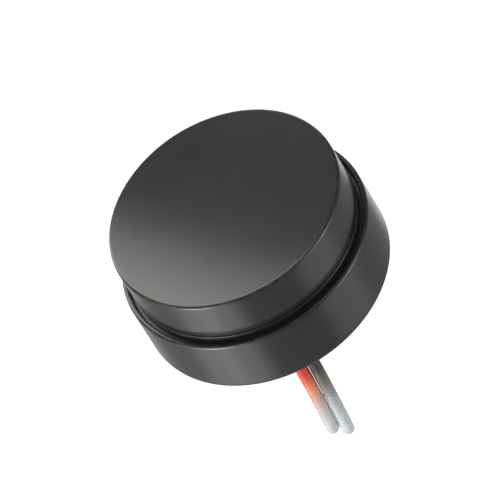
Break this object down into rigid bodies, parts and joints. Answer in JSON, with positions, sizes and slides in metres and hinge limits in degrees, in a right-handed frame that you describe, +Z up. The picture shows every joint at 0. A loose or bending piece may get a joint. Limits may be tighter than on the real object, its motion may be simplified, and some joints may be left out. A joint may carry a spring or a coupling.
{
  "type": "vibration coin motor",
  "caption": "Coin-shaped vibration motor: off-balance flat rotor on a fixed shaft in a stepped round case, with a short pair of leads from the base.",
  "frame": {"origin": "centre of the base's flat outer face, on the shaft's axis", "axes": "+Z up the shaft, from the base to the cap; +Y away from the side that the leads leave on"},
  "size_m": [0.008, 0.008, 0.0081],
  "materials": {
    "blackened_steel": "satin black coating over drawn steel",
    "blackened_steel_cap": "satin black coating over drawn steel",
    "black_seal": "matt",
    "shaft_steel": "ground",
    "washer_plastic": "smooth",
    "circuit_film": "glossy amber film",
    "magnet_plating": "nickel plated",
    "brush_alloy": "bright",
    "red_jacket": "smooth",
    "black_jacket": "smooth",
    "copper_core": "bright",
    "tinned_end": "solder dipped",
    "solder": "bright",
    "bearing_bronze": "sintered, oiled",
    "frame_resin": "moulded",
    "tungsten": "sintered",
    "coil_wire": "enamelled",
    "board_laminate": "solder mask",
    "gold_plate": "plated"
  },
  "bodies": {
    "root": {"base_cup": "blackened_steel", "cap": "blackened_steel_cap", "seal_sleeve": "black_seal", "shaft": "shaft_steel", "lower_thrust_washer": "washer_plastic", "upper_thrust_washer": "washer_plastic", "brush_circuit": "circuit_film", "magnet_ring": "magnet_plating", "brush_a": "brush_alloy", "brush_b": "brush_alloy", "lead_bush": "black_seal", "red_lead_jacket": "red_jacket", "black_lead_jacket": "black_jacket", "red_lead_core": "copper_core", "black_lead_core": "copper_core", "red_lead_dipped_end": "tinned_end", "black_lead_dipped_end": "tinned_end", "lead_solder_joints": "solder"},
    "rotor": {"rotor_bearing": "bearing_bronze", "rotor_frame": "frame_resin", "counterweight": "tungsten", "coil_a": "coil_wire", "coil_b": "coil_wire", "commutator_board": "board_laminate", "commutator_segments": "gold_plate", "coil_solder_joints": "solder"}
  },
  "joints": [
    {"name": "rotor_spin", "type": "hinge", "parent": "root", "child": "rotor", "pos_m": [0, 0, 0], "axis": [0, 0, 1], "continuous": true}
  ]
}
